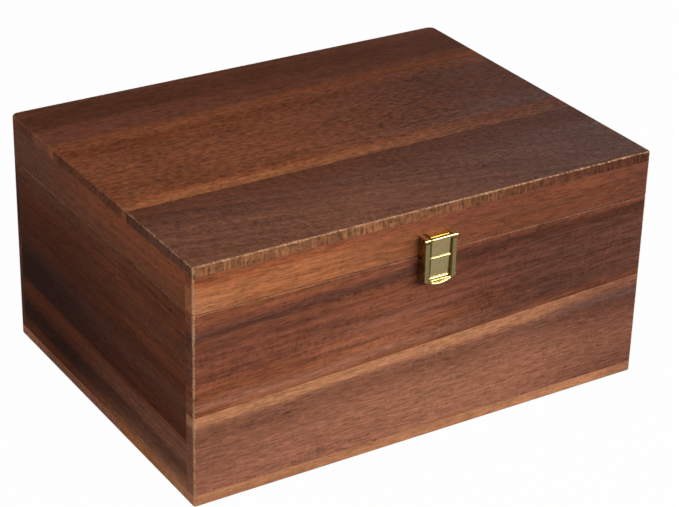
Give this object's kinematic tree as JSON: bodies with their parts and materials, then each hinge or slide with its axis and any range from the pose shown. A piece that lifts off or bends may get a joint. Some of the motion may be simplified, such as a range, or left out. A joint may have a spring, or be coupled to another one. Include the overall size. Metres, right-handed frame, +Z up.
{
  "type": "wooden keepsake box",
  "caption": "Rectangular wooden keepsake box of glued boards with a rear-hinged lid and a brass flap latch in front.",
  "frame": {"origin": "centre of the wooden box's underside, on the surface that it stands on", "axes": "+Z up, -Y out of the front with the latch, +X to the right seen from the front, along the box's longest side"},
  "size_m": [0.3174, 0.2529, 0.1549],
  "materials": {
    "lid_top_rear_wood": "stained and satin lacquered",
    "lid_top_middle_wood": "stained and satin lacquered",
    "lid_top_front_wood": "stained and satin lacquered",
    "lid_rail_wood": "stained and satin lacquered",
    "upper_wall_wood": "stained and satin lacquered",
    "lower_wall_wood": "stained and satin lacquered",
    "bottom_wood": "stained and satin lacquered",
    "brass": "polished"
  },
  "bodies": {
    "base": {"base_back_lower_board": "lower_wall_wood", "base_back_upper_board": "upper_wall_wood", "base_front_lower_board": "lower_wall_wood", "base_front_upper_board": "upper_wall_wood", "base_left_lower_board": "lower_wall_wood", "base_left_upper_board": "upper_wall_wood", "base_right_lower_board": "lower_wall_wood", "base_right_upper_board": "upper_wall_wood", "bottom_front_board": "bottom_wood", "bottom_middle_board": "bottom_wood", "bottom_rear_board": "bottom_wood", "latch_catch_nails": "brass", "latch_catch_plate": "brass", "left_hinge_base_leaf": "brass", "left_hinge_base_screws": "brass", "left_hinge_pin": "brass", "right_hinge_base_leaf": "brass", "right_hinge_base_screws": "brass", "right_hinge_pin": "brass"},
    "lid": {"latch_lid_nails": "brass", "latch_lid_plate": "brass", "latch_pin": "brass", "left_hinge_lid_leaf": "brass", "left_hinge_lid_screws": "brass", "lid_back_rail": "lid_rail_wood", "lid_front_rail": "lid_rail_wood", "lid_left_rail": "lid_rail_wood", "lid_right_rail": "lid_rail_wood", "lid_top_front_board": "lid_top_front_wood", "lid_top_middle_board": "lid_top_middle_wood", "lid_top_rear_board": "lid_top_rear_wood", "right_hinge_lid_leaf": "brass", "right_hinge_lid_screws": "brass"},
    "latch_flap": {"latch_flap": "brass"}
  },
  "joints": [
    {"name": "lid_hinge", "type": "hinge", "parent": "base", "child": "lid", "pos_m": [0, 0.1219, 0.1249], "axis": [-1, 0, 0], "range_deg": [0, 95]},
    {"name": "latch_hinge", "type": "hinge", "parent": "lid", "child": "latch_flap", "pos_m": [0, -0.1262, 0.1371], "axis": [-1, 0, 0], "range_deg": [0, 170]}
  ]
}
